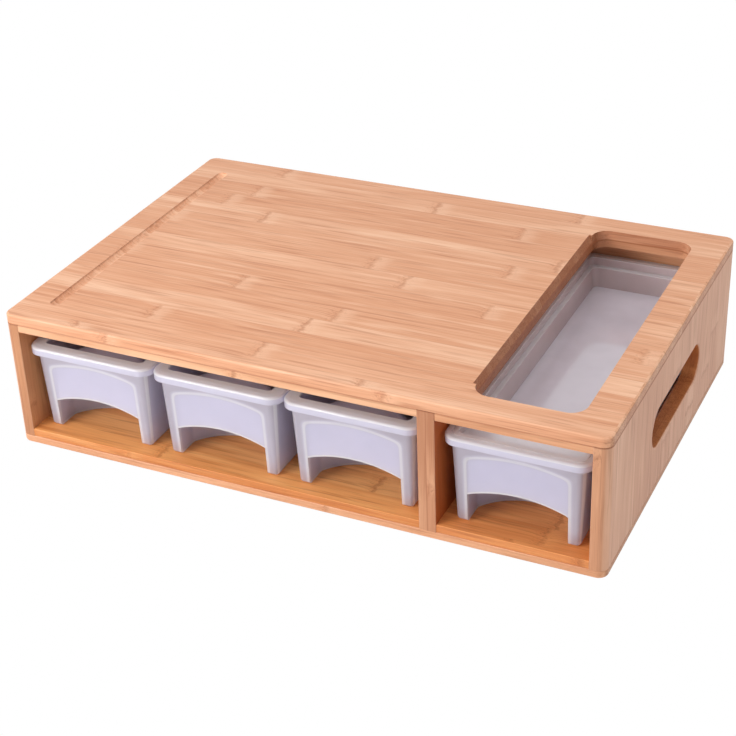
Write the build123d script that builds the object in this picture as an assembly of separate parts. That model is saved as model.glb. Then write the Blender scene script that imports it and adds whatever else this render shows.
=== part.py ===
from build123d import *
import math
import os

# Cutting board on a low box that holds four pull-out food trays.
# Millimetres.  X runs along the board, +Y to the back, +Z up.
# The origin is the middle of the underside.

# ---------------------------------------------------------------- box
board_length = 450.0
board_width = 303.0
board_thickness = 7.5
under_panel_thickness = 6.0
side_height = 93.0
base_thickness = 6.0
floor_thickness = 6.0
side_thickness = 11.5
divider_thickness = 12.5
back_thickness = 7.0
right_bay_width = 105.5
corner_radius = 7.0
board_round_over = 1.6
edge_ease = 0.7
panel_setback = 0.5
cut_past = 1.0

# ---------------------------------------------------------------- opening in the board, over the right bay
opening_side_margin = 13.7
opening_front_margin = 20.5
opening_back_margin = 22.0
opening_corner_radius = 12.0
sweep_bevel_width = 2.5
sweep_bevel_depth = 6.0

# ---------------------------------------------------------------- juice groove near the left edge
groove_side_margin = 22.4
groove_front_margin = 24.0
groove_back_margin = 27.0
groove_width = 8.6
groove_depth = 3.0

# ---------------------------------------------------------------- hand holds cut through the side panels
handle_length = 118.0
handle_height = 30.0
handle_centre_height = 52.0
handle_back_offset = 3.5
handle_edge_ease = 1.2

# ---------------------------------------------------------------- hidden fasteners
dowel_radius = 3.0
dowel_length = 24.0
dowel_skin = 3.0
dowel_clearance = 0.05
dowel_tip_chamfer = 0.6
screw_length = 25.0
screw_shank_radius = 1.75
screw_head_radius = 3.6
screw_head_height = 2.4
screw_tip_length = 4.0
screw_recess_depth = 0.4
screw_clearance = 0.05
fastener_end_margin = 42.0
fasteners_per_side = 3
back_screw_count = 4
back_screw_end_margin = 75.0
back_screw_setback = 4.5

# ---------------------------------------------------------------- trays
left_tray_count = 3
tray_gap = 1.2
right_tray_side_gap = 2.05
tray_front_setback = 4.0
tray_back_gap = 2.0
tray_floor_clearance = 0.2
tray_height = 68.0
tray_wall = 1.8
tray_floor = 2.0
tray_draft = 3.0
tray_bottom_round = 2.5
cavity_corner_radius = 6.5
rim_overhang = 4.4
rim_thickness = 2.0
rim_round = 1.8
lip_height = 5.8
lip_thickness = 1.6
rim_corner_radius = 10.5
seat_depth = 1.4
seat_margin = 0.3

# finger pocket moulded up into the front of each tray
pocket_side_margin = 15.9
pocket_extra_depth = 5.8
pocket_crown = 56.0
pocket_wall = 1.8
pocket_edge_round = 6.0
apron_crown = 29.4
apron_arch_radius = 91.0

# shallow tray that drops into the rim of the tray under the opening
insert_wall = 1.5
insert_seat_gap = 0.3
insert_side_gap = 0.8
insert_shoulder_depth = 6.7
insert_shoulder_width = 3.4
insert_depth = 22.4
insert_draft = 5.5
insert_corner_radius = 5.0
insert_pocket_gap = 2.0

# ---------------------------------------------------------------- worked-out places
half_length = board_length / 2
half_width = board_width / 2
side_bottom = base_thickness
side_top = side_bottom + side_height
board_top = side_top + board_thickness
bay_floor = base_thickness + floor_thickness
bay_ceiling = side_top - under_panel_thickness
panel_front = -half_width + panel_setback
back_front = half_width - back_thickness

right_bay_right = half_length - side_thickness
right_bay_left = right_bay_right - right_bay_width
left_bay_left = -half_length + side_thickness
left_bay_right = right_bay_left - divider_thickness
left_bay_width = left_bay_right - left_bay_left
left_side_middle = -half_length + side_thickness / 2
right_side_middle = half_length - side_thickness / 2
divider_middle = left_bay_right + divider_thickness / 2

left_rim_width = (left_bay_width - (left_tray_count + 1) * tray_gap) / left_tray_count
right_rim_width = right_bay_width - 2 * right_tray_side_gap
rim_length = board_width - back_thickness - tray_front_setback - tray_back_gap
rim_front = -half_width + tray_front_setback
tray_bottom = bay_floor + tray_floor_clearance
body_length = rim_length - 2 * rim_overhang
body_corner_radius = rim_corner_radius - rim_overhang
draft_slope = math.tan(math.radians(tray_draft))

fastener_span = board_width - 2 * fastener_end_margin
fastener_step = fastener_span / (fasteners_per_side - 1)
fastener_rows = [-fastener_span / 2 + fastener_step * i for i in range(fasteners_per_side)]
back_screw_span = board_length - 2 * back_screw_end_margin
back_screw_step = back_screw_span / (back_screw_count - 1)
back_screw_xs = [-back_screw_span / 2 + back_screw_step * i for i in range(back_screw_count)]


# ---------------------------------------------------------------- helpers
def slab(x_low, x_high, y_low, y_high, z_low, z_high):
    """A rectangular block between two corners."""
    centre = Pos((x_low + x_high) / 2, (y_low + y_high) / 2, (z_low + z_high) / 2)
    return centre * Box(x_high - x_low, y_high - y_low, z_high - z_low)


def upright_edges(solid, side):
    """The vertical edges at one X end: 0 for the left end, -1 for the right."""
    return solid.edges().filter_by(Axis.Z).group_by(Axis.X)[side]


def rounded_block(width, length, radius, z_low, z_high, middle_y=0.0):
    """A block with rounded upright corners, standing on the middle of X."""
    plan = Pos(0, middle_y, z_low) * RectangleRounded(width, length, radius)
    return extrude(plan, z_high - z_low)


def drafted_block(top_width, top_length, radius, z_low, z_high, draft):
    """A block with rounded upright corners that narrows downwards."""
    plan = Plane.XY.offset(z_high) * RectangleRounded(top_width, top_length, radius)
    return extrude(plan, -(z_high - z_low), taper=draft)


def opening_cutter(z_low, z_high):
    """The rounded slot through the board and the panel under it."""
    x_low = right_bay_left + opening_side_margin + sweep_bevel_width
    x_high = right_bay_right - opening_side_margin
    y_low = -half_width + opening_front_margin
    y_high = half_width - opening_back_margin
    plan = RectangleRounded(x_high - x_low, y_high - y_low, opening_corner_radius)
    place = Pos((x_low + x_high) / 2, (y_low + y_high) / 2, z_low)
    return extrude(place * plan, z_high - z_low)


def fastener_places():
    """X and Y of every upright fastener in the two sides and the divider."""
    places = {}
    for name, x in (("left", left_side_middle), ("right", right_side_middle), ("divider", divider_middle)):
        places[name] = [(x, y) for y in fastener_rows]
    return places


def back_screw_places():
    """X and Y of the screws that go up into the back panel."""
    return [(x, half_width - back_screw_setback) for x in back_screw_xs]


# ---------------------------------------------------------------- dowels and screws
def dowel(x, y):
    """One dowel, half in the board and the rest in the upright below it."""
    top = board_top - dowel_skin
    pin = Cylinder(dowel_radius, dowel_length)
    pin = chamfer(pin.edges().filter_by(GeomType.CIRCLE), dowel_tip_chamfer)
    return Pos(x, y, top - dowel_length / 2) * pin


def dowel_holes(places):
    """Cutters for the blind holes that the dowels are glued into."""
    top = board_top - dowel_skin
    radius = dowel_radius + dowel_clearance
    return [Pos(x, y, top - dowel_length / 2) * Cylinder(radius, dowel_length) for x, y in places]


def screw_profile(clearance):
    """Half section of a countersunk screw, head down, standing on Z = 0."""
    head = screw_head_radius + clearance
    shank = screw_shank_radius + clearance
    tip = screw_length + clearance
    points = [
        (0, 0),
        (head, 0),
        (shank, screw_head_height),
        (shank, screw_length - screw_tip_length),
        (0, tip),
    ]
    return make_face(Polyline(*points, close=True))


def screw(x, y):
    """One countersunk screw driven up through the base."""
    body = revolve(Plane.XZ * screw_profile(0.0), Axis.Z)
    return Pos(x, y, screw_recess_depth) * body


def screw_holes(places):
    """Cutters for the countersinks and pilot holes."""
    cutter = revolve(Plane.XZ * screw_profile(screw_clearance), Axis.Z)
    mouth = Cylinder(screw_head_radius + screw_clearance, screw_recess_depth)
    cutter += Pos(0, 0, -screw_recess_depth / 2) * mouth
    return [Pos(x, y, screw_recess_depth) * cutter for x, y in places]


def dowel_group(name):
    return Compound(children=[dowel(x, y) for x, y in fastener_places()[name]])


def screw_group():
    places = [spot for spots in fastener_places().values() for spot in spots]
    places += back_screw_places()
    return Compound(children=[screw(x, y) for x, y in places])


# ---------------------------------------------------------------- board and box
def juice_groove():
    """A round-bottomed groove with round ends, as a ball cutter leaves it."""
    radius = (groove_width ** 2 / 4 + groove_depth ** 2) / (2 * groove_depth)
    x = -half_length + groove_side_margin + groove_width / 2
    z = board_top - groove_depth + radius
    y_low = -half_width + groove_front_margin + groove_width / 2
    y_high = half_width - groove_back_margin - groove_width / 2
    run = Pos(x, (y_low + y_high) / 2, z) * Rot(90, 0, 0) * Cylinder(radius, y_high - y_low)
    ends = [Pos(x, y, z) * Sphere(radius) for y in (y_low, y_high)]
    return run + ends


def sweep_bevel():
    """The slope along the left edge of the opening, between its round corners."""
    x = right_bay_left + opening_side_margin
    y_low = -half_width + opening_front_margin + opening_corner_radius
    y_high = half_width - opening_back_margin - opening_corner_radius
    points = [
        (x, board_top),
        (x + sweep_bevel_width, board_top),
        (x + sweep_bevel_width, board_top - sweep_bevel_depth),
    ]
    section = Plane.XZ.offset(-y_high) * make_face(Polyline(*points, close=True))
    return extrude(section, y_high - y_low)


def cutting_board():
    board = slab(-half_length, half_length, -half_width, half_width, side_top, board_top)
    board = fillet(board.edges().filter_by(Axis.Z), corner_radius)
    board = fillet(board.faces().sort_by(Axis.Z)[-1].edges(), board_round_over)
    board = fillet(board.faces().sort_by(Axis.Z)[0].edges(), edge_ease)
    board -= opening_cutter(side_top - cut_past, board_top + cut_past)
    board -= sweep_bevel()
    board -= juice_groove()
    for places in fastener_places().values():
        board -= dowel_holes(places)
    return board


def handle_slot(x_low, x_high):
    """A slot with round ends through a side panel."""
    middle = Plane.YZ.offset(x_low)
    plan = Pos(handle_back_offset, handle_centre_height) * SlotOverall(handle_length, handle_height)
    return extrude(middle * plan, x_high - x_low)


def side_panel(end, name):
    """One side panel; end is 0 for the left one and -1 for the right one."""
    x_low = -half_length if end == 0 else right_bay_right
    x_high = x_low + side_thickness
    panel = slab(x_low, x_high, -half_width, half_width, side_bottom, side_top)
    panel = fillet(upright_edges(panel, end), corner_radius)
    inner_end = -1 - end
    panel = fillet(upright_edges(panel, inner_end), edge_ease)
    panel -= handle_slot(x_low, x_high)
    faces = panel.faces().filter_by(Axis.X)
    rims = [edge for face in faces for wire in face.inner_wires() for edge in wire.edges()]
    panel = fillet(rims, handle_edge_ease)
    panel -= dowel_holes(fastener_places()[name])
    panel -= screw_holes(fastener_places()[name])
    return panel


def divider_panel():
    panel = slab(left_bay_right, right_bay_left, -half_width, back_front, side_bottom, side_top)
    front = panel.edges().filter_by(Axis.Z).group_by(Axis.Y)[0]
    panel = fillet(front, edge_ease)
    panel -= dowel_holes(fastener_places()["divider"])
    panel -= screw_holes(fastener_places()["divider"])
    return panel


def back_panel():
    panel = slab(left_bay_left, right_bay_right, back_front, half_width, side_bottom, side_top)
    panel -= screw_holes(back_screw_places())
    return panel


def base_panel():
    panel = slab(-half_length, half_length, -half_width, half_width, 0, base_thickness)
    panel = fillet(panel.edges().filter_by(Axis.Z), corner_radius)
    panel = fillet(panel.faces().sort_by(Axis.Z)[0].edges(), board_round_over)
    panel = fillet(panel.faces().sort_by(Axis.Z)[-1].edges(), edge_ease)
    for places in fastener_places().values():
        panel -= screw_holes(places)
    panel -= screw_holes(back_screw_places())
    return panel


def bay_panel(x_low, x_high, z_low, z_high):
    """A thin panel that fills a bay from side to side, with an eased front edge."""
    panel = slab(x_low, x_high, panel_front, back_front, z_low, z_high)
    front = panel.faces().sort_by(Axis.Y)[0].edges().filter_by(Axis.X)
    return fillet(front, edge_ease)


def left_under_panel():
    return bay_panel(left_bay_left, left_bay_right, bay_ceiling, side_top)


def right_under_panel():
    panel = bay_panel(right_bay_left, right_bay_right, bay_ceiling, side_top)
    return panel - opening_cutter(bay_ceiling - cut_past, side_top + cut_past)


def left_floor_panel():
    return bay_panel(left_bay_left, left_bay_right, base_thickness, bay_floor)


def right_floor_panel():
    return bay_panel(right_bay_left, right_bay_right, base_thickness, bay_floor)


# ---------------------------------------------------------------- trays
# Each is made standing on Z = 0, with its middle at X = Y = 0.  The width given
# is the rim's, which is the tray's widest.
front_wall_y = -body_length / 2
body_top = tray_height - rim_thickness
bottom_inset = draft_slope * body_top
apron_back_y = front_wall_y + bottom_inset + tray_wall


def body_width(width):
    """Width of the tub under the rim, at its top."""
    return width - 2 * rim_overhang


def pocket_half_width(width):
    return width / 2 - pocket_side_margin


def pocket_depth(width):
    """From the front wall to the back of the finger pocket."""
    return pocket_half_width(width) + pocket_extra_depth


def below_arch(crown, radius, y_low, y_high, half_span):
    """Everything under an arch in the XZ plane, between two Y planes, to just below Z = 0."""
    spring = crown - radius + math.sqrt(radius ** 2 - half_span ** 2)
    left_spring = (-half_span, spring)
    right_spring = (half_span, spring)
    arch = ThreePointArc(left_spring, (0, crown), right_spring)
    legs = Polyline(right_spring, (half_span, -cut_past), (-half_span, -cut_past), left_spring)
    section = Plane.XZ.offset(-y_high) * make_face(arch + legs)
    return extrude(section, y_high - y_low)


def pocket_round(radius):
    """An upright cylinder on the front wall, which gives the pocket its round back."""
    return Pos(0, front_wall_y, tray_height / 2) * Cylinder(radius, tray_height + 2 * cut_past)


def pocket_shape(width, growth):
    """The pocket's space, or with growth its outside inside the tub."""
    arch_radius = apron_arch_radius + pocket_crown - apron_crown + growth
    half_span = pocket_half_width(width) + growth
    reach = pocket_depth(width) + growth
    crown = pocket_crown + growth
    under = below_arch(crown, arch_radius, front_wall_y - reach, front_wall_y + reach, half_span)
    shape = pocket_round(reach) & under
    edges = [edge for edge in shape.edges() if edge.center().Z > 0]
    return fillet(edges, pocket_edge_round + growth)


def tray_body(width):
    """The drafted tub with its floor, before the pocket is formed."""
    outer = drafted_block(body_width(width), body_length, body_corner_radius, 0, body_top, tray_draft)
    return fillet(outer.faces().sort_by(Axis.Z)[0].edges(), tray_bottom_round)


def tray_cavity(width):
    """The inside of the tub, open at the top."""
    top_width = body_width(width) - 2 * tray_wall
    length = body_length - 2 * tray_wall
    inner = drafted_block(top_width, length, cavity_corner_radius, tray_floor, body_top, tray_draft)
    inner = fillet(inner.faces().sort_by(Axis.Z)[0].edges(), tray_bottom_round)
    return inner + rounded_block(top_width, length, cavity_corner_radius, body_top, tray_height + cut_past)


def tray_rim(width):
    """The rolled rim: a flat top, and a lip that hangs clear of the wall."""
    rim = rounded_block(width, rim_length, rim_corner_radius, tray_height - lip_height, tray_height)
    rim = fillet(rim.faces().sort_by(Axis.Z)[-1].edges(), rim_round)
    channel = rounded_block(
        width - 2 * lip_thickness,
        rim_length - 2 * lip_thickness,
        rim_corner_radius - lip_thickness,
        tray_height - lip_height - cut_past,
        tray_height - rim_thickness,
    )
    return rim - channel


def rim_seat(width):
    """The shallow step round the inside of the rim that a lid or insert sits on."""
    seat_width = body_width(width) - 2 * seat_margin
    length = body_length - 2 * seat_margin
    radius = body_corner_radius - seat_margin
    return rounded_block(seat_width, length, radius, tray_height - seat_depth, tray_height + cut_past)


def inner_apron_cut(width):
    """The pocket's space behind the front wall, which stays as the apron."""
    behind = slab(-width, width, apron_back_y, front_wall_y + width, -cut_past, tray_height)
    return pocket_shape(width, 0.0) & behind


def apron_arch_cut(width):
    """The arch cut away under the apron, between the two front legs."""
    front = front_wall_y - cut_past
    back = apron_back_y + tray_bottom_round
    return below_arch(apron_crown, apron_arch_radius, front, back, pocket_half_width(width))


def tray(width):
    """One tray: tub, rim, lid seat and the finger pocket in its front."""
    cavity = tray_cavity(width) - pocket_shape(width, pocket_wall)
    body = tray_body(width) + tray_rim(width)
    body -= cavity
    body -= rim_seat(width)
    body -= inner_apron_cut(width)
    body -= apron_arch_cut(width)
    return body


def drop_in_tray(width):
    """The shallow tray in the rim of the tray under the opening: flange, shoulder and well."""
    seat = tray_height - seat_depth
    flange_inset = seat_margin + insert_seat_gap
    flange_width = body_width(width) - 2 * flange_inset
    flange_length = body_length - 2 * flange_inset
    body = rounded_block(flange_width, flange_length, body_corner_radius - flange_inset, seat, tray_height)

    neck_inset = tray_wall + insert_side_gap
    neck_width = body_width(width) - 2 * neck_inset
    neck_length = body_length - 2 * neck_inset
    neck_radius = cavity_corner_radius - insert_side_gap
    shoulder = tray_height - insert_shoulder_depth
    body += rounded_block(neck_width, neck_length, neck_radius, shoulder - insert_wall, seat)
    neck_hollow = rounded_block(
        neck_width - 2 * insert_wall,
        neck_length - 2 * insert_wall,
        neck_radius - insert_wall,
        shoulder,
        tray_height + cut_past,
    )

    well_width = neck_width - 2 * (insert_wall + insert_shoulder_width)
    well_back = neck_length / 2 - insert_wall - insert_shoulder_width
    pocket_back = front_wall_y + pocket_depth(width) + pocket_wall
    well_front = pocket_back + insert_pocket_gap + insert_wall
    well_length = well_back - well_front
    well_middle = Pos(0, (well_back + well_front) / 2, 0)
    well_floor = tray_height - insert_depth
    well = drafted_block(well_width, well_length, insert_corner_radius, well_floor, shoulder, insert_draft)
    outside = drafted_block(
        well_width + 2 * insert_wall,
        well_length + 2 * insert_wall,
        insert_corner_radius + insert_wall,
        well_floor - insert_wall,
        shoulder,
        insert_draft,
    )
    body += well_middle * outside
    body -= neck_hollow
    body -= well_middle * well
    return body


def tray_place(x):
    return Pos(x, rim_front + rim_length / 2, tray_bottom)


def left_tray_x(index):
    """Middle of each tray in the left bay along X, counted from the left."""
    return left_bay_left + tray_gap + left_rim_width / 2 + index * (left_rim_width + tray_gap)


# ---------------------------------------------------------------- write the parts
def build_parts():
    parts = {
        "cutting_board": cutting_board(),
        "left_under_panel": left_under_panel(),
        "right_under_panel": right_under_panel(),
        "left_side_panel": side_panel(0, "left"),
        "right_side_panel": side_panel(-1, "right"),
        "divider_panel": divider_panel(),
        "back_panel": back_panel(),
        "base_panel": base_panel(),
        "left_floor_panel": left_floor_panel(),
        "right_floor_panel": right_floor_panel(),
        "left_side_dowels": dowel_group("left"),
        "right_side_dowels": dowel_group("right"),
        "divider_dowels": dowel_group("divider"),
        "base_screws": screw_group(),
    }
    left_tray = tray(left_rim_width)
    for index in range(left_tray_count):
        parts[f"tray_{index + 1}"] = tray_place(left_tray_x(index)) * left_tray
    right_place = tray_place((right_bay_left + right_bay_right) / 2)
    parts[f"tray_{left_tray_count + 1}"] = right_place * tray(right_rim_width)
    parts["drop_in_tray"] = right_place * drop_in_tray(right_rim_width)
    return parts


os.makedirs("parts", exist_ok=True)
for node, solid in build_parts().items():
    export_step(solid, f"parts/{node}.step")
    print(node, round(solid.volume), "mm3")
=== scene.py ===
import math
from collections import namedtuple

import bmesh
import bpy
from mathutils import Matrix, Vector


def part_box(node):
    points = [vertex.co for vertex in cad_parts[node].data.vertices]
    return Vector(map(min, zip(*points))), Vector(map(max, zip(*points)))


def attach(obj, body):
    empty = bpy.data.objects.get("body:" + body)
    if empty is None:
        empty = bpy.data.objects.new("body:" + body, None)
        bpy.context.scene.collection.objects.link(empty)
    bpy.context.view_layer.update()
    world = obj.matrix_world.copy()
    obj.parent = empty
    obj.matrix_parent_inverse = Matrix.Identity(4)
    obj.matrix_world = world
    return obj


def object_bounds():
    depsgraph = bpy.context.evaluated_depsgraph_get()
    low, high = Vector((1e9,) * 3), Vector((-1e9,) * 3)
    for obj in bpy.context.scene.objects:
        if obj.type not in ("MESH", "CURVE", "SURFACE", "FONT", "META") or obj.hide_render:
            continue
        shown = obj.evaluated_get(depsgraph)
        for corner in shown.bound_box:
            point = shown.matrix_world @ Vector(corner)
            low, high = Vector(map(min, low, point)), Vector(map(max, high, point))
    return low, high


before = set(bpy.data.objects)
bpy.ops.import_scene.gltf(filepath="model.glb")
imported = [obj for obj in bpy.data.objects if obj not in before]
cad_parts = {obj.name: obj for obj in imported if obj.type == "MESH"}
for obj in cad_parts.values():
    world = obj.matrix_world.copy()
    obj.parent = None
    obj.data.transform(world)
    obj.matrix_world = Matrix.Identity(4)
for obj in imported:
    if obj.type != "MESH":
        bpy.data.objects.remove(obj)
cad_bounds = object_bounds()
MM = 0.001

# ---------------------------------------------------------------- camera
# Where the photograph was taken from, in the row frame.
CAMERA_PLACE = (0.4651, -0.9745, 0.6535)
CAMERA_TURN_DEG = (60.175, 2.145, 25.170)
CAMERA_LENS_MM = 81.0
CAMERA_SHIFT = (0.0120, -0.0105)


def add_camera():
    data = bpy.data.cameras.new("camera")
    data.lens = CAMERA_LENS_MM
    data.shift_x, data.shift_y = CAMERA_SHIFT
    camera = bpy.data.objects.new("camera", data)
    camera.location = CAMERA_PLACE
    camera.rotation_euler = [math.radians(turn) for turn in CAMERA_TURN_DEG]
    bpy.context.scene.collection.objects.link(camera)
    bpy.context.scene.camera = camera


# ---------------------------------------------------------------- node graphs
AXES = {"X": 0, "Y": 1, "Z": 2}

# Most values of a noise lie between these two.
NOISE_SPREAD = (0.3, 0.7)

# A surface: how rough it is, how much its noise adds to that, and its relief's strength and depth in mm.
Finish = namedtuple("Finish", "rough rough_by_noise relief relief_depth")


class Graph:
    """Short calls that add and join shader nodes in one tree."""

    def __init__(self, tree):
        self.tree = tree
        tree.nodes.clear()

    def node(self, kind, **settings):
        made = self.tree.nodes.new(kind)
        for name, value in settings.items():
            setattr(made, name, value)
        return made

    def put(self, socket, value):
        """Links a socket, or sets a plain value."""
        if isinstance(value, bpy.types.NodeSocket):
            self.tree.links.new(value, socket)
        elif value is not None:
            socket.default_value = value

    def math(self, operation, a, b=None, c=None, clamp=False):
        made = self.node("ShaderNodeMath", operation=operation, use_clamp=clamp)
        for socket, value in zip(made.inputs, (a, b, c)):
            self.put(socket, value)
        return made.outputs[0]

    def times(self, *values):
        product = values[0]
        for value in values[1:]:
            product = self.math("MULTIPLY", product, value)
        return product

    def away(self, value, middle):
        """How far a value lies from a middle, to either side."""
        return self.math("ABSOLUTE", self.math("SUBTRACT", value, middle))

    def smooth(self, value, low, high, to_low=0.0, to_high=1.0):
        """A soft step of value from low to high."""
        made = self.node("ShaderNodeMapRange", interpolation_type="SMOOTHSTEP")
        for socket, item in zip(made.inputs, (value, low, high, to_low, to_high)):
            self.put(socket, item)
        return made.outputs[0]

    def fall(self, value, low, high):
        """A soft step down, from 1 at low to 0 at high."""
        return self.smooth(value, low, high, 1.0, 0.0)

    def band(self, value, limits, start=0.0):
        """1 between the two middle limits and 0 outside the outer two, all counted from start."""
        rise_low, rise_high, fall_low, fall_high = (start + limit for limit in limits)
        return self.times(self.smooth(value, rise_low, rise_high), self.fall(value, fall_low, fall_high))

    def vector(self, x, y, z):
        made = self.node("ShaderNodeCombineXYZ")
        for socket, value in zip(made.inputs, (x, y, z)):
            self.put(socket, value)
        return made.outputs[0]

    def split(self, vector):
        """A vector's X, Y and Z."""
        made = self.node("ShaderNodeSeparateXYZ")
        self.put(made.inputs[0], vector)
        return list(made.outputs)

    def place(self):
        return self.node("ShaderNodeTexCoord").outputs["Object"]

    def place_mm(self):
        """A point's X, Y and Z in millimetres."""
        return [self.times(part, 1 / MM) for part in self.split(self.place())]

    def facing(self):
        """The X, Y and Z of the surface's direction."""
        return self.split(self.node("ShaderNodeNewGeometry").outputs["Normal"])

    def noise(self, vector, scale=1.0, detail=2.0, rough=0.5):
        made = self.node("ShaderNodeTexNoise")
        self.put(made.inputs["Vector"], vector)
        self.put(made.inputs["Scale"], scale)
        self.put(made.inputs["Detail"], detail)
        self.put(made.inputs["Roughness"], rough)
        return made.outputs[0]

    def random(self, vector):
        """Three random numbers for each whole-number vector."""
        made = self.node("ShaderNodeTexWhiteNoise", noise_dimensions="3D")
        self.put(made.inputs["Vector"], vector)
        split = self.node("ShaderNodeSeparateColor")
        self.put(split.inputs[0], made.outputs["Color"])
        return list(split.outputs)

    def mix(self, factor, a, b, blend="MIX"):
        """Two colours mixed.  The node's sockets 6 and 7 and its output 2 are the ones for colours."""
        made = self.node("ShaderNodeMix", data_type="RGBA", blend_type=blend)
        self.put(made.inputs["Factor"], factor)
        self.put(made.inputs[6], a)
        self.put(made.inputs[7], b)
        return made.outputs[2]

    def tinted(self, colour, amount, tint):
        """Takes a colour towards its product with a tint."""
        return self.mix(amount, colour, self.mix(1.0, colour, tint, "MULTIPLY"))

    def ramp(self, factor, stops):
        made = self.node("ShaderNodeValToRGB")
        ramp = made.color_ramp
        ramp.elements[0].position, ramp.elements[0].color = stops[0]
        ramp.elements[1].position, ramp.elements[1].color = stops[-1]
        for level, shade in stops[1:-1]:
            ramp.elements.new(level).color = shade
        self.put(made.inputs[0], factor)
        return made.outputs[0]

    def bump(self, height, strength, distance):
        made = self.node("ShaderNodeBump")
        self.put(made.inputs["Strength"], strength)
        self.put(made.inputs["Distance"], distance)
        self.put(made.inputs["Height"], height)
        return made.outputs[0]

    def principled(self, colour, noise, height, finish, levels):
        """A surface with a noise in its roughness; levels gives the inputs that are one value all over."""
        roughness = self.math("MULTIPLY_ADD", noise, finish.rough_by_noise, finish.rough)
        made = self.node("ShaderNodeBsdfPrincipled")
        self.put(made.inputs["Base Color"], colour)
        self.put(made.inputs["Roughness"], roughness)
        self.put(made.inputs["Normal"], self.bump(height, finish.relief, finish.relief_depth * MM))
        for name, value in levels.items():
            made.inputs[name].default_value = value
        return made.outputs[0]

    def blend(self, factor, a, b):
        """Two shaders mixed."""
        made = self.node("ShaderNodeMixShader")
        for socket, value in zip(made.inputs, (factor, a, b)):
            self.put(socket, value)
        return made.outputs[0]

    def show(self, shader, output="ShaderNodeOutputMaterial"):
        self.put(self.node(output).inputs["Surface"], shader)


def new_material(name, kind=Graph, *details):
    material = bpy.data.materials.new(name)
    material.use_nodes = True
    return material, kind(material.node_tree, *details)


def dress(node, material):
    """Gives a CAD node one material."""
    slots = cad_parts[node].data.materials
    slots.clear()
    slots.append(material)


def srgb(red, green, blue):
    """An 8-bit screen colour as the linear colour that a shader takes."""
    def linear(level):
        part = level / 255
        return part / 12.92 if part <= 0.04045 else ((part + 0.055) / 1.055) ** 2.4
    return (linear(red), linear(green), linear(blue), 1.0)


# ---------------------------------------------------------------- bamboo: the pattern
# Lengths are millimetres.  A rate is what a length is multiplied by before it goes into a noise.
# A share is how much of a shade is mixed in.  A STEP is the two values between which something fades in
# or out, and SHARES are two such values with the share at each.
STRIP_WIDTH = 21.0
STRIP_WAVER = 0.02
WAVER_RATE = 0.006
STRIPS_PER_SEED = 3.7
MIDDLE_TONE = 0.42

KNUCKLE_SPACING_LEAST = 205.0
KNUCKLE_SPACING_SPREAD = 120.0
KNUCKLE_SHIFT = 9.0
KNUCKLE_WANDER = 9.0
KNUCKLE_WANDER_RATES = (0.10, 0.22)
KNUCKLE_REACH = (1.0, 10.0)
KNUCKLE_LINE = (0.8, 2.6)
PALE_BAND = (-2.0, 3.0, 4.0, 16.0)
PIT_RATES = (0.55, 0.75)
PIT_STEP = (0.50, 0.68)
FIBRE_BEND = 2.6
FIBRE_SHIFT_PER_STRIP = 57.0
FIBRE_SHIFT_PER_LAYER = 31.0

# For each kind of fibre: its length and width, and the detail and roughness of its noise.
FIBRES = {
    "cloud": (170.0, 26.0, 1.0, 0.5),
    "broad": (95.0, 6.5, 2.0, 0.5),
    "streak": (58.0, 3.0, 2.0, 0.45),
    "fine": (60.0, 1.3, 3.0, 0.6),
    "bundle": (34.0, 0.75, 2.0, 0.5),
    "seam": (140.0, 30.0, 0.0, 0.5),
}
# How fibres colour a strip: the two values of the noise, the share of the shade at each, and the shade.
FIBRE_SHADES = (
    ("cloud", (0.34, 0.62, 0.55, 0.0), "dark"),
    ("broad", (0.32, 0.66, 0.60, 0.0), "dark"),
    ("broad", (0.55, 0.75, 0.0, 0.60), "light"),
    ("streak", (0.53, 0.70, 0.0, 0.40), "deepest"),
    ("fine", (0.40, 0.70, 0.0, 0.36), "light"),
)
BUNDLE_STEP = (0.56, 0.70)
BUNDLE_SHARE = 0.26
KNUCKLE_SHARE = 0.20
KNUCKLE_LINE_SHARE = 0.12
KNUCKLE_LINE_SHARE_BY_TONE = 0.40
PIT_SHARE = 0.50
PALE_BAND_SHARE = 0.40

SEAM_WIDTH_IN_STRIPS = 0.022
SEAM_SHARES = (0.40, 0.62, 0.08, 0.42)
GLUE_LINE_WIDTH = 0.45

END_DOT_RATE = 1.6
END_DOT_LENGTH = 20.0
END_DOT_SHARES = (0.52, 0.66, 0.0, 0.6)
FACING_STEP = (0.70, 0.95)
HOLE_WALL_STEP = (0.3, 0.6)
HOLE_SHADED_SIDE_STEP = (0.2, 0.8)
UPRIGHT_STEP = (0.5, 0.8)
BOARD_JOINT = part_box("cutting_board")[0][2] / MM
# The dark line at the joint's height: partly the joint itself, partly painted shade in the gap under the
# board's edge.
JOINT_LINE_AND_SHADE_SHARES = (0.25, 0.9, 0.75, 0.0)

FIBRE_RELIEF = 0.5
BUNDLE_RELIEF = -0.5
SEAM_RELIEF = -0.8
PIT_RELIEF = -0.6
BAMBOO_FINISH = Finish(0.40, 0.16, 0.35, 0.12)
BAMBOO_LEVELS = {"Specular IOR Level": 0.35}


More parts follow.
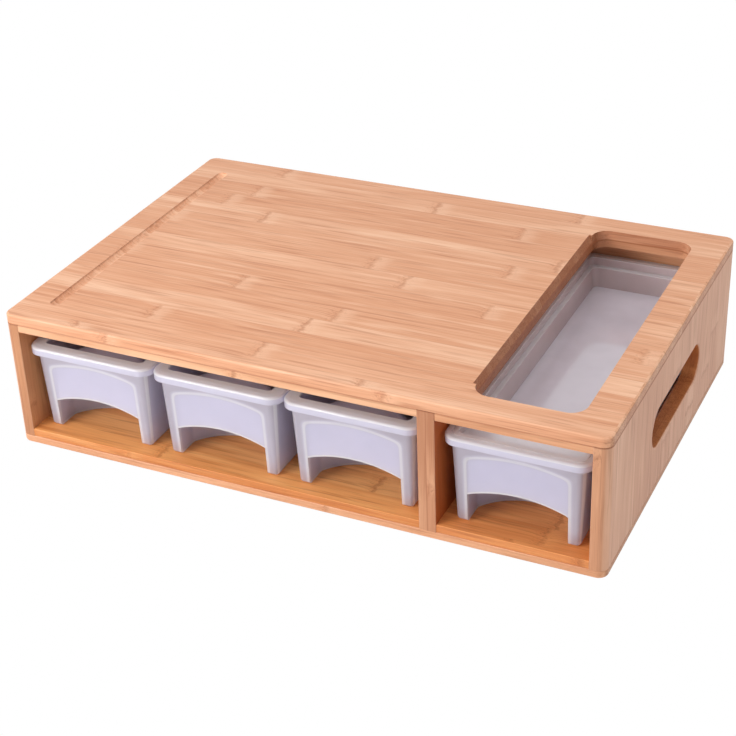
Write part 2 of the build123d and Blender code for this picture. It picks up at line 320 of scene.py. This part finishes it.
class Bamboo(Graph):
    """The pattern on one panel of glued bamboo strips.

    The strips run along the first of the panel's axes, lie side by side along the second and are stacked
    in layers along the third.  Each strip has its own tone and its own knuckles.
    """

    def __init__(self, tree, panel, first_layer, seed):
        super().__init__(tree)
        self.panel = panel
        self.point = self.place_mm()
        self.along, self.across, self.deep = (self.point[AXES[axis]] for axis in panel.axes)
        self.direction = self.facing()
        self.find_strips(first_layer, seed)
        self.find_knuckles()
        self.find_fibres()

    def find_strips(self, first_layer, seed):
        """The strip and layer that a point is in, and how far across them it lies."""
        waver = self.noise(self.vector(self.times(self.along, WAVER_RATE), seed, self.across), detail=0)
        waver = self.math("MULTIPLY_ADD", waver, STRIP_WAVER, seed * STRIPS_PER_SEED)
        row = self.math("ADD", self.math("DIVIDE", self.across, STRIP_WIDTH), waver)
        layer = self.math("DIVIDE", self.math("SUBTRACT", self.deep, first_layer), self.panel.ply)
        self.in_row = self.math("FRACT", row)
        self.in_layer = self.math("FRACT", layer)
        self.layer_number = self.math("FLOOR", layer)
        numbers = self.vector(self.math("FLOOR", row), self.layer_number, seed)
        self.tone, self.shift, self.vary = self.random(numbers)

    def at_rates(self, lengthwise, crosswise):
        """A point's place, scaled along a strip and across it."""
        return self.vector(self.times(self.along, lengthwise), self.times(self.across, crosswise), self.deep)

    def find_knuckles(self):
        """Where a strip crosses a node of the cane: a ragged line with pits, and a paler band after it."""
        step = self.math("MULTIPLY_ADD", self.vary, KNUCKLE_SPACING_SPREAD, KNUCKLE_SPACING_LEAST)
        turn = self.math("ADD", self.math("DIVIDE", self.along, step), self.times(self.shift, KNUCKLE_SHIFT))
        gap = self.times(self.math("SUBTRACT", self.math("FRACT", turn), 0.5), step)
        self.ragged = self.noise(self.at_rates(*KNUCKLE_WANDER_RATES), detail=2)
        wander = self.math("MULTIPLY_ADD", self.ragged, KNUCKLE_WANDER, -KNUCKLE_WANDER / 2)
        gap = self.math("ADD", gap, wander)
        self.near = self.fall(self.math("ABSOLUTE", gap), *KNUCKLE_REACH)
        self.line = self.fall(self.math("ABSOLUTE", gap), *KNUCKLE_LINE)
        self.after = self.band(gap, PALE_BAND)
        pits = self.noise(self.at_rates(*PIT_RATES), detail=3)
        self.pits = self.times(self.smooth(pits, *PIT_STEP), self.near)

    def find_fibres(self):
        """The fibres, which bend a little round each knuckle."""
        bend = self.math("MULTIPLY_ADD", self.times(self.near, self.ragged), FIBRE_BEND, self.across)
        self.bend = self.math("ADD", bend, self.times(self.shift, FIBRE_SHIFT_PER_STRIP))
        layer_shift = self.times(self.layer_number, FIBRE_SHIFT_PER_LAYER)
        self.inward = self.math("ADD", self.deep, layer_shift)
        self.fibres = {name: self.fibre(*sizes) for name, sizes in FIBRES.items()}
        self.bundle = self.smooth(self.fibres["bundle"], *BUNDLE_STEP)

    def fibre(self, length, width, detail, rough):
        lengthwise = self.math("DIVIDE", self.along, length)
        crosswise = self.math("DIVIDE", self.bend, width)
        inward = self.math("DIVIDE", self.inward, width)
        return self.noise(self.vector(lengthwise, crosswise, inward), detail=detail, rough=rough)

    def towards(self, side):
        """How far the surface faces a signed axis, such as "+X"."""
        sign, axis = side
        return self.times(self.direction[AXES[axis]], -1.0 if sign == "-" else 1.0)

    def along_axis(self, axis):
        """How far the surface faces along an axis, either way."""
        return self.math("ABSOLUTE", self.direction[AXES[axis]])

    def from_edge(self, part):
        """How far a share between 0 and 1 lies from the nearer end."""
        return self.math("MINIMUM", part, self.math("SUBTRACT", 1.0, part))

    def add_grain(self):
        """The strips, with their fibres and knuckles."""
        light, middle, dark, deepest = self.panel.palette
        self.colour = self.ramp(self.tone, [(0.0, dark), (MIDDLE_TONE, middle), (1.0, light)])
        for name, shares, shade in FIBRE_SHADES:
            amount = self.smooth(self.fibres[name], *shares)
            self.colour = self.mix(amount, self.colour, getattr(self.panel.palette, shade))
        line_share = self.math("MULTIPLY_ADD", self.tone, KNUCKLE_LINE_SHARE_BY_TONE, KNUCKLE_LINE_SHARE)
        for amount, share, shade in (
            (self.bundle, BUNDLE_SHARE, deepest),
            (self.near, KNUCKLE_SHARE, dark),
            (self.line, line_share, deepest),
            (self.pits, PIT_SHARE, deepest),
            (self.after, PALE_BAND_SHARE, light),
        ):
            self.colour = self.mix(self.times(amount, share), self.colour, shade)

    def add_seams(self):
        """Thin glue lines between strips and between layers."""
        deepest = self.panel.palette.deepest
        self.seam = self.fall(self.from_edge(self.in_row), 0.0, SEAM_WIDTH_IN_STRIPS)
        shown = self.smooth(self.fibres["seam"], *SEAM_SHARES)
        self.colour = self.mix(self.times(self.seam, shown), self.colour, deepest)
        layer_edge = self.times(self.from_edge(self.in_layer), self.panel.ply)
        glue_line = self.fall(layer_edge, 0.0, GLUE_LINE_WIDTH)
        self.colour = self.mix(self.times(glue_line, self.panel.glue_share), self.colour, deepest)

    def add_end_grain(self):
        """Cut ends are darker, with the bundles seen as dots."""
        end = self.smooth(self.along_axis(self.panel.axes[0]), *FACING_STEP)
        crosswise, inward = (self.times(part, END_DOT_RATE) for part in (self.across, self.deep))
        lengthwise = self.math("DIVIDE", self.along, END_DOT_LENGTH)
        dots = self.noise(self.vector(lengthwise, crosswise, inward), detail=1)
        dotted = self.mix(self.smooth(dots, *END_DOT_SHARES), self.colour, self.panel.palette.deepest)
        self.colour = self.mix(end, self.colour, self.mix(1.0, dotted, END_GRAIN_TINT, "MULTIPLY"))

    def paint_face_shades(self):
        # Painted shade: faces that point one of the panel's listed ways are darkened and browned.
        for side, tint in self.panel.tints.items():
            amount = self.smooth(self.towards(side), *FACING_STEP)
            self.colour = self.tinted(self.colour, amount, tint)

    def paint_hole_shade(self):
        """Painted shade on a sawn hole's walls: inside its box, not facing along its axis, deeper on one
        side.
        """
        hole = self.panel.hole
        sawn = self.fall(self.along_axis(hole.axis), *HOLE_WALL_STEP)
        for part, least, most in zip(self.point, hole.low, hole.high):
            sawn = self.times(sawn, self.math("GREATER_THAN", part, least))
            sawn = self.times(sawn, self.math("LESS_THAN", part, most))
        self.colour = self.tinted(self.colour, sawn, hole.tint)
        # A deeper painted shade on the walls that face the shaded side.
        darker = self.times(sawn, self.smooth(self.towards(hole.darker_side), *HOLE_SHADED_SIDE_STEP))
        self.colour = self.tinted(self.colour, darker, hole.darker_tint)

    def add_joint_line_and_shade(self):
        """A dark line where the board meets the box, on upright faces: partly the joint, partly painted
        shade.
        """
        line = self.smooth(self.away(self.point[AXES["Z"]], BOARD_JOINT), *JOINT_LINE_AND_SHADE_SHARES)
        upright = self.fall(self.along_axis("Z"), *UPRIGHT_STEP)
        self.colour = self.mix(self.times(line, upright), self.colour, self.panel.palette.deepest)

    def finish(self):
        """Puts the colours, the roughness and the relief together."""
        self.add_grain()
        self.add_seams()
        self.add_end_grain()
        self.paint_face_shades()
        if self.panel.hole:
            self.paint_hole_shade()
        self.add_joint_line_and_shade()
        fine = self.fibres["fine"]
        relief = self.times(fine, FIBRE_RELIEF)
        for part, height in ((self.bundle, BUNDLE_RELIEF), (self.seam, SEAM_RELIEF), (self.pits, PIT_RELIEF)):
            relief = self.math("ADD", relief, self.times(part, height))
        self.show(self.principled(self.colour, fine, relief, BAMBOO_FINISH, BAMBOO_LEVELS))


# ---------------------------------------------------------------- bamboo: the panels and their painted shade
Palette = namedtuple("Palette", "light middle dark deepest")
TOP = Palette(srgb(252, 206, 172), srgb(239, 183, 146), srgb(220, 156, 117), srgb(172, 102, 64))
FRAME = Palette(srgb(246, 198, 160), srgb(234, 176, 136), srgb(218, 158, 118), srgb(170, 106, 68))
SIDE = Palette(srgb(236, 190, 158), srgb(224, 172, 140), srgb(210, 156, 124), srgb(165, 104, 72))
LEFT_FLOOR = Palette(srgb(255, 186, 116), srgb(247, 166, 96), srgb(228, 144, 77), srgb(168, 92, 44))
# The right floor's palette is a little darker than the left's: painted shade for the right bay, which the
# divider shades.
RIGHT_FLOOR_WITH_SHADE = Palette(srgb(255, 176, 106), srgb(242, 156, 88), srgb(222, 134, 72), srgb(162, 86, 42))

# What a face's colour is multiplied by.  The end grain's tint is the wood's own; the tints after it are
# painted shade.
END_GRAIN_TINT = (0.72, 0.67, 0.63, 1.0)
# Painted shade on the walls inside the bays, deeper on the divider's face in the right bay.
BAY_WALL_SHADE = (0.98, 0.82, 0.58, 1.0)
DEEP_BAY_WALL_SHADE = (0.92, 0.48, 0.18, 1.0)
# Painted shade on front faces: the upright panels' fronts, the left side's front, the board's and the floors'
# front edges.
FRONT_EDGE_SHADE = (0.85, 0.74, 0.64, 1.0)
LEFT_FRONT_SHADE = (0.68, 0.53, 0.40, 1.0)
BOARD_EDGE_SHADE = (0.89, 0.82, 0.77, 1.0)
FLOOR_EDGE_SHADE = (0.80, 0.76, 0.78, 1.0)
# Painted shade on the walls of the board's opening and of the hand slots, and deeper painted shade for some
# walls.
OPENING_WALL_SHADE = (0.88, 0.79, 0.74, 1.0)
HAND_SLOT_WALL_SHADE = (1.0, 0.66, 0.34, 1.0)
DEEP_HOLE_WALL_SHADE = (0.76, 0.66, 0.58, 1.0)

# A hole whose walls get painted shade: the axis that it goes through, the lowest and highest corner of a box
# round it in millimetres, its walls' tint of painted shade, and the side that the more shaded walls face,
# with the tint of deeper painted shade for those.
Hole = namedtuple("Hole", "axis low high tint darker_side darker_tint")
BOARD_OPENING = Hole("Z", (100.0, -140.0, 60.0), (210.0, 135.0, 120.0), OPENING_WALL_SHADE, "+X", DEEP_HOLE_WALL_SHADE)
HAND_SLOT = Hole("X", (-300.0, -75.0, 25.0), (300.0, 75.0, 80.0), HAND_SLOT_WALL_SHADE, "+Y", DEEP_HOLE_WALL_SHADE)

# A panel: the axes of the grain, the strips and the layers, the palette, a layer's thickness in millimetres,
# how strong the line between two layers is, the tint of painted shade for each face that has one, and the
# hole.
Panel = namedtuple("Panel", "axes palette ply glue_share tints hole")
# Which faces of each panel get which painted shade.
BOARD_FRONT_SHADES = {"-Y": BOARD_EDGE_SHADE}
FLOOR_FRONT_SHADES = {"-Y": FLOOR_EDGE_SHADE}
LEFT_SIDE_SHADES = {"+X": BAY_WALL_SHADE, "-Y": LEFT_FRONT_SHADE}
RIGHT_SIDE_SHADES = {"-X": BAY_WALL_SHADE, "-Y": FRONT_EDGE_SHADE}
DIVIDER_SHADES = {"+X": DEEP_BAY_WALL_SHADE, "-X": BAY_WALL_SHADE, "-Y": FRONT_EDGE_SHADE}
PANELS = {
    "cutting_board": Panel("XYZ", TOP, 7.5, 0.10, BOARD_FRONT_SHADES, BOARD_OPENING),
    "left_under_panel": Panel("XYZ", FRAME, 6.0, 0.10, BOARD_FRONT_SHADES, None),
    "right_under_panel": Panel("XYZ", FRAME, 6.0, 0.10, BOARD_FRONT_SHADES, BOARD_OPENING),
    "left_side_panel": Panel("ZYX", SIDE, 5.75, 0.25, LEFT_SIDE_SHADES, HAND_SLOT),
    "right_side_panel": Panel("ZYX", SIDE, 5.75, 0.25, RIGHT_SIDE_SHADES, HAND_SLOT),
    "divider_panel": Panel("ZYX", SIDE, 6.25, 0.60, DIVIDER_SHADES, None),
    "back_panel": Panel("XZY", FRAME, 7.0, 0.10, {}, None),
    "base_panel": Panel("XYZ", FRAME, 6.0, 0.10, BOARD_FRONT_SHADES, None),
    "left_floor_panel": Panel("XYZ", LEFT_FLOOR, 6.0, 0.10, FLOOR_FRONT_SHADES, None),
    "right_floor_panel": Panel("XYZ", RIGHT_FLOOR_WITH_SHADE, 6.0, 0.10, FLOOR_FRONT_SHADES, None),
}


def dress_panels():
    for seed, (node, panel) in enumerate(PANELS.items(), start=1):
        first_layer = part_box(node)[0][AXES[panel.axes[2]]] / MM
        material, pattern = new_material(node + "_bamboo", Bamboo, panel, first_layer, float(seed))
        pattern.finish()
        dress(node, material)


# ---------------------------------------------------------------- dowels and screws
BEECH_DARK = srgb(196, 160, 118)
BEECH_LIGHT = srgb(226, 196, 156)
BEECH_FIBRE_RATE = 2.0
BEECH_FIBRE_LENGTH = 14.0
BEECH_FINISH = Finish(0.5, 0.2, 0.3, 0.1)
ZINC_DARK = srgb(176, 176, 178)
ZINC_LIGHT = srgb(208, 208, 206)
ZINC_CLOUDS_PER_METRE = 900.0
ZINC_GRAINS_PER_METRE = 5200.0
ZINC_FINISH = Finish(0.24, 0.25, 0.15, 0.03)


def beech():
    material, g = new_material("beech")
    x, y, z = g.place_mm()
    crosswise = [g.times(part, BEECH_FIBRE_RATE) for part in (x, y)]
    fibre = g.noise(g.vector(*crosswise, g.math("DIVIDE", z, BEECH_FIBRE_LENGTH)), detail=3)
    colour = g.ramp(fibre, list(zip(NOISE_SPREAD, (BEECH_DARK, BEECH_LIGHT))))
    g.show(g.principled(colour, fibre, fibre, BEECH_FINISH, {}))
    return material


def zinc_steel():
    material, g = new_material("zinc_steel")
    place = g.place()
    cloud = g.noise(place, scale=ZINC_CLOUDS_PER_METRE, detail=3)
    grain = g.noise(place, scale=ZINC_GRAINS_PER_METRE, detail=2)
    colour = g.ramp(cloud, list(zip(NOISE_SPREAD, (ZINC_DARK, ZINC_LIGHT))))
    g.show(g.principled(colour, grain, grain, ZINC_FINISH, {"Metallic": 1.0}))
    return material


def dress_fasteners():
    dowel_wood = beech()
    for node in ("left_side_dowels", "right_side_dowels", "divider_dowels"):
        dress(node, dowel_wood)
    dress("base_screws", zinc_steel())


# ---------------------------------------------------------------- milky plastic: tones, painted light and painted shade
TRAY_TONE = srgb(224, 220, 236)
# Painted light: a paler, bluer front inside the finger pocket's outline.
APRON_PAINTED_LIGHT = srgb(230, 228, 252)
# Painted shade: greyer legs, where the dark inside of the tray shows through.
LEG_PAINTED_SHADE = srgb(196, 186, 196)
# Painted glow: the finger pocket's wall, a pale line through the front.
POCKET_LINE_PAINTED_GLOW = srgb(252, 251, 255)
# Painted glow and painted highlight: corners, lower edges, the apron's cut edge, the rim's flat top and bead.
PAINTED_GLOW_AND_HIGHLIGHT = srgb(255, 254, 254)
# Painted light: the rim paler than the body.
RIM_PAINTED_LIGHT = srgb(232, 230, 248)
INSERT_TONE = srgb(252, 246, 255)
# Painted shade, brown like the bamboo that shows through the drop-in tray's thin walls.
SHOW_THROUGH_SHADE = (0.86, 0.76, 0.70, 1.0)
CLOUD_TINT = 0.95

# A tray's sizes, in millimetres.
RIM_OVERHANG = 4.4
RIM_LIP_HEIGHT = 5.8
BODY_DRAFT = 3.0
POCKET_SIDE_MARGIN = 15.9
POCKET_CROWN = 56.0
POCKET_CORNER_ROUND = 6.0
APRON_DEPTH = 5.3
APRON_CROWN = 29.4
APRON_ARCH_RADIUS = 91.0
POCKET_ARCH_RADIUS = APRON_ARCH_RADIUS + POCKET_CROWN - APRON_CROWN
INSERT_SHOULDER_DEPTH = 6.7

# Where each tone starts and ends, in millimetres from the edge that it follows.
APRON_FADE = 0.8
INSIDE_POCKET = (-1.2, 0.4)
POCKET_WALL = (-0.6, 0.4, 1.2, 2.6)
OUTSIDE_POCKET = (1.6, 4.0)
CUT_EDGE = (0.7, 1.7)
CUT_EDGE_START = (-0.8, -0.2)
CUT_EDGE_SIDE = (-0.6, 0.0)
CORNER_BAND = (1.0, 1.8, 3.2, 4.2)
CORNER_REACH = (2.2, 3.2)
LOWER_EDGE = (0.6, 2.0)
RIM_EDGE_FADE = 0.4
FLAT_TOP = (-0.4, -0.1)
BEAD = (-2.0, -1.4, -0.35, -0.05)

# The same for the painted highlights along the drop-in tray's edges, with the share of the pale tone at each
# distance.
INSERT_HIGHLIGHT_SHARES = (0.3, 0.7, 0.6, 0.0)

# How far a wall of the drop-in tray faces up, where its painted shade starts to fade and where it is gone.
THIN_WALL_STEP = (0.3, 0.8)


class TrayForm:
    """Where a tray's tub, rim and finger pocket lie, in millimetres."""

    def __init__(self, node):
        low, high = ([part / MM for part in corner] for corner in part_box(node))
        half_rim = (high[0] - low[0]) / 2
        self.middle = (low[0] + high[0]) / 2
        self.half_width = half_rim - RIM_OVERHANG
        self.half_pocket = half_rim - POCKET_SIDE_MARGIN
        self.front_wall = low[1] + RIM_OVERHANG
        self.underside = low[2]
        self.height = high[2] - low[2]
        self.top = high[2]


def above_arch(g, height, sideways, crown, radius):
    """How far a point lies above an arch; it is negative below."""
    fall = g.math("SQRT", g.math("SUBTRACT", radius ** 2, g.times(sideways, sideways)))
    return g.math("SUBTRACT", height, g.math("ADD", fall, crown - radius))


def paint_tray_light(g, colour, form):
    """Painted light and shade on a tray.

    The rim, the corners, the lower edges and the apron's cut edge are painted paler, as glows, and the
    rim's bead gets a painted highlight.  The finger pocket's wall is painted as a pale line shining through
    the tray's front, with painted bluer light on the front inside it and painted grey shade on the legs.
    """
    x, y, z = g.place_mm()
    sideways = g.away(x, form.middle)
    height = g.math("SUBTRACT", z, form.underside)
    apron_back = form.front_wall + APRON_DEPTH
    front = g.fall(y, apron_back, apron_back + APRON_FADE)

    over = above_arch(g, height, sideways, POCKET_CROWN, POCKET_ARCH_RADIUS)
    beside = g.math("SUBTRACT", sideways, form.half_pocket)
    outside = g.math("SMOOTH_MAX", over, beside, POCKET_CORNER_ROUND)
    inner = g.times(g.fall(outside, *INSIDE_POCKET), front)
    wall = g.times(g.band(outside, POCKET_WALL), front)
    outer = g.times(g.smooth(outside, *OUTSIDE_POCKET), front)

    cut = above_arch(g, height, sideways, APRON_CROWN, APRON_ARCH_RADIUS)
    edge = g.times(g.fall(cut, *CUT_EDGE), g.fall(beside, *CUT_EDGE_SIDE))
    edge = g.times(edge, g.times(g.smooth(cut, *CUT_EDGE_START), front))

    shrink = g.math("MULTIPLY_ADD", height, -BODY_DRAFT / form.height, BODY_DRAFT)
    from_side = g.math("SUBTRACT", g.math("SUBTRACT", form.half_width, shrink), sideways)
    from_front = g.math("SUBTRACT", g.math("SUBTRACT", y, form.front_wall), shrink)
    corner = g.times(g.band(from_front, CORNER_BAND), g.fall(from_side, *CORNER_REACH))
    lower = g.fall(height, *LOWER_EDGE)
    lip = form.height - RIM_LIP_HEIGHT
    rim = g.smooth(height, lip - RIM_EDGE_FADE, lip + RIM_EDGE_FADE)
    flat_top = g.smooth(height, *(form.height + limit for limit in FLAT_TOP))
    bead = g.band(height, BEAD, form.height)

    # Painted light and shade mixed in: light on the pocket's front, shade on the legs, glows and a highlight
    # on the edges.
    for amount, share, shade in (
        (inner, 0.60, APRON_PAINTED_LIGHT),
        (outer, 0.55, LEG_PAINTED_SHADE),
        (wall, 0.75, POCKET_LINE_PAINTED_GLOW),
        (corner, 0.75, PAINTED_GLOW_AND_HIGHLIGHT),
        (lower, 0.60, PAINTED_GLOW_AND_HIGHLIGHT),
        (edge, 0.90, PAINTED_GLOW_AND_HIGHLIGHT),
        (rim, 0.85, RIM_PAINTED_LIGHT),
        (flat_top, 0.90, PAINTED_GLOW_AND_HIGHLIGHT),
        (bead, 0.90, PAINTED_GLOW_AND_HIGHLIGHT),
    ):
        colour = g.mix(g.times(amount, share), colour, shade)
    return colour


def paint_insert_light(g, colour, form):
    """Painted: the thin walls show the bamboo behind as brown shade; the flange and the step get pale
    highlights.
    """
    upright = g.fall(g.math("ABSOLUTE", g.facing()[AXES["Z"]]), *THIN_WALL_STEP)
    # Painted brown shade on the upright walls.
    colour = g.tinted(colour, upright, SHOW_THROUGH_SHADE)
    height = g.place_mm()[AXES["Z"]]
    # Painted highlights along the flange's edge and the step's edge.
    for edge in (form.top, form.top - INSERT_SHOULDER_DEPTH):
        colour = g.mix(g.smooth(g.away(height, edge), *INSERT_HIGHLIGHT_SHARES), colour, PAINTED_GLOW_AND_HIGHLIGHT)
    return colour


# ---------------------------------------------------------------- milky plastic: surface
# How much light goes straight through, and how much of the rest glows through.
TRAY_CLEAR = 0.30
TRAY_GLOW = 0.25
INSERT_CLEAR = 0.12
INSERT_GLOW = 0.30
PLASTIC_CLOUDS_PER_METRE = 45.0
PLASTIC_GRAINS_PER_METRE = 1500.0
PLASTIC_FINISH = Finish(0.14, 0.10, 0.12, 0.05)
PLASTIC_LEVELS = {
    "Subsurface Weight": 0.3,
    "Subsurface Radius": (1.0, 1.0, 1.0),
    "Subsurface Scale": 4.0 * MM,
    "Coat Weight": 1.0,
    "Coat Roughness": 0.06,
    "Coat IOR": 1.6,
}


def milky_plastic(name, tone, clear, glow_share, paint_light, form):
    """Moulded polypropylene: it glows with the light behind it and blurs what lies there."""
    material, g = new_material(name)
    place = g.place()
    cloud = g.noise(place, scale=PLASTIC_CLOUDS_PER_METRE, detail=2)
    grain = g.noise(place, scale=PLASTIC_GRAINS_PER_METRE, detail=2)
    cloud_tone = tuple(CLOUD_TINT * part for part in tone[:3]) + (1.0,)
    colour = g.mix(g.smooth(cloud, *NOISE_SPREAD), tone, cloud_tone)
    colour = paint_light(g, colour, form)
    body = g.principled(colour, grain, grain, PLASTIC_FINISH, PLASTIC_LEVELS)
    glow = g.node("ShaderNodeBsdfTranslucent")
    g.put(glow.inputs["Color"], colour)
    milk = g.blend(glow_share, body, glow.outputs[0])
    g.show(g.blend(clear, milk, g.node("ShaderNodeBsdfTransparent").outputs[0]))
    return material


# ---------------------------------------------------------------- the trays
LEFT_TRAYS = ("tray_1", "tray_2", "tray_3")
RIGHT_TRAY = "tray_4"

# The flange inside a left tray's rim, measured inwards from the rim's outside, in millimetres.
FLANGE_OUTSIDE = 4.75
FLANGE_INSIDE = 9.7
FLANGE_THICKNESS = 1.4
FLANGE_OUTSIDE_RADIUS = 5.75
FLANGE_INSIDE_RADIUS = 3.5
FLANGE_EDGE_ROUND = 0.6
CORNER_STEPS = 8
EDGE_STEPS = 4


def rounded_loop(form, low, high, inset, radius, height):
    """The points of a rounded rectangle, given in millimetres inside a tray's box."""
    points = []
    for turn in range(4):
        right, back = turn in (0, 3), turn in (0, 1)
        x = high[0] / MM - inset - radius if right else low[0] / MM + inset + radius
        y = high[1] / MM - inset - radius if back else low[1] / MM + inset + radius
        for step in range(CORNER_STEPS + 1):
            angle = math.radians(90 * (turn + step / CORNER_STEPS))
            points.append((x + radius * math.cos(angle), y + radius * math.sin(angle), height))
    return [form.verts.new(Vector(point) * MM) for point in points]


def flange_sections(top):
    """The inset, the corner radius and the height of each loop of a flange."""
    under = top - FLANGE_THICKNESS
    sections = [(FLANGE_OUTSIDE, FLANGE_OUTSIDE_RADIUS, under), (FLANGE_OUTSIDE, FLANGE_OUTSIDE_RADIUS, top)]
    for step in range(EDGE_STEPS + 1):
        angle = math.radians(90 * step / EDGE_STEPS)
        back_off = FLANGE_EDGE_ROUND * (1 - math.sin(angle))
        height = top - FLANGE_EDGE_ROUND * (1 - math.cos(angle))
        sections.append((FLANGE_INSIDE - back_off, FLANGE_INSIDE_RADIUS + back_off, height))
    sections.append((FLANGE_INSIDE, FLANGE_INSIDE_RADIUS, under))
    return sections


def add_rim_flange(node, plastic):
    """The flat flange that a tray's rim carries inwards over the seat."""
    low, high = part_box(node)
    form = bmesh.new()
    loops = [rounded_loop(form, low, high, *section) for section in flange_sections(high[2] / MM)]
    for loop, after in zip(loops, loops[1:] + loops[:1]):
        for corner in range(len(loop)):
            beside = (corner + 1) % len(loop)
            form.faces.new((loop[corner], loop[beside], after[beside], after[corner]))
    bmesh.ops.recalc_face_normals(form, faces=form.faces)
    mesh = bpy.data.meshes.new(node + "_rim_flange")
    form.to_mesh(mesh)
    form.free()
    flange = bpy.data.objects.new(node + "_rim_flange", mesh)
    bpy.context.scene.collection.objects.link(flange)
    mesh.materials.append(plastic)
    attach(flange, node)


def dress_trays():
    for node in (*LEFT_TRAYS, RIGHT_TRAY):
        name = node + "_plastic"
        plastic = milky_plastic(name, TRAY_TONE, TRAY_CLEAR, TRAY_GLOW, paint_tray_light, TrayForm(node))
        dress(node, plastic)
        if node in LEFT_TRAYS:
            add_rim_flange(node, plastic)
    form = TrayForm(RIGHT_TRAY)
    insert = milky_plastic("drop_in_plastic", INSERT_TONE, INSERT_CLEAR, INSERT_GLOW, paint_insert_light, form)
    dress("drop_in_tray", insert)


# ---------------------------------------------------------------- floor, light and world
FLOOR_SIZE = 6.0
FLOOR_SQUARES = 8
FLOOR_COLOUR = (0.95, 0.95, 0.95, 1.0)
WHITE = (1.0, 1.0, 1.0, 1.0)
SKY_LIGHT = 0.40
BACKGROUND_LIGHT = 1.0

# For each softbox: its name, place, what it points at, width and height in metres, and power in watts.
SOFTBOXES = (
    ("key_light", (-0.75, -1.15, 0.62), (0.0, -0.05, 0.05), (0.7, 0.5), 13.2),
    ("top_light", (-0.1, -0.25, 1.8), (0.0, 0.0, 0.1), (1.6, 1.6), 14.0),
    ("right_light", (1.9, 0.9, 0.9), (0.1, 0.0, 0.05), (0.9, 0.9), 8.0),
)


def camera_like(g):
    """1 for rays from the camera, and for what metal and plastic mirror or let through."""
    path = g.node("ShaderNodeLightPath").outputs
    seen = g.math("ADD", path["Is Camera Ray"], path["Is Glossy Ray"])
    return g.math("ADD", seen, path["Is Transmission Ray"], clamp=True)


def add_floor():
    mesh = bpy.data.meshes.new("floor")
    form = bmesh.new()
    bmesh.ops.create_grid(form, x_segments=FLOOR_SQUARES, y_segments=FLOOR_SQUARES, size=FLOOR_SIZE / 2)
    form.to_mesh(mesh)
    form.free()
    floor = bpy.data.objects.new("floor", mesh)
    floor.location.z = cad_bounds[0][2]
    bpy.context.scene.collection.objects.link(floor)
    material, g = new_material("pale_floor")
    matt = g.node("ShaderNodeBsdfDiffuse")
    matt.inputs["Color"].default_value = FLOOR_COLOUR
    glow = g.node("ShaderNodeEmission")
    glow.inputs["Strength"].default_value = BACKGROUND_LIGHT
    g.show(g.blend(camera_like(g), matt.outputs[0], glow.outputs[0]))
    mesh.materials.append(material)


def background(g, strength):
    made = g.node("ShaderNodeBackground")
    made.inputs["Color"].default_value = WHITE
    made.inputs["Strength"].default_value = strength
    return made.outputs[0]


def add_world():
    world = bpy.data.worlds.new("studio")
    bpy.context.scene.world = world
    world.use_nodes = True
    g = Graph(world.node_tree)
    sky = background(g, SKY_LIGHT)
    white = background(g, BACKGROUND_LIGHT)
    g.show(g.blend(camera_like(g), sky, white), "ShaderNodeOutputWorld")


def add_lights():
    for name, place, aim, size, power in SOFTBOXES:
        data = bpy.data.lights.new(name, "AREA")
        data.shape = "RECTANGLE"
        data.size, data.size_y = size
        data.energy = power
        lamp = bpy.data.objects.new(name, data)
        lamp.location = place
        lamp.rotation_euler = (Vector(aim) - Vector(place)).to_track_quat("-Z", "Y").to_euler()
        bpy.context.scene.collection.objects.link(lamp)


# ---------------------------------------------------------------- put it together
bpy.context.scene.view_settings.view_transform = "Standard"
add_camera()
add_world()
add_floor()
add_lights()
dress_panels()
dress_fasteners()
dress_trays()
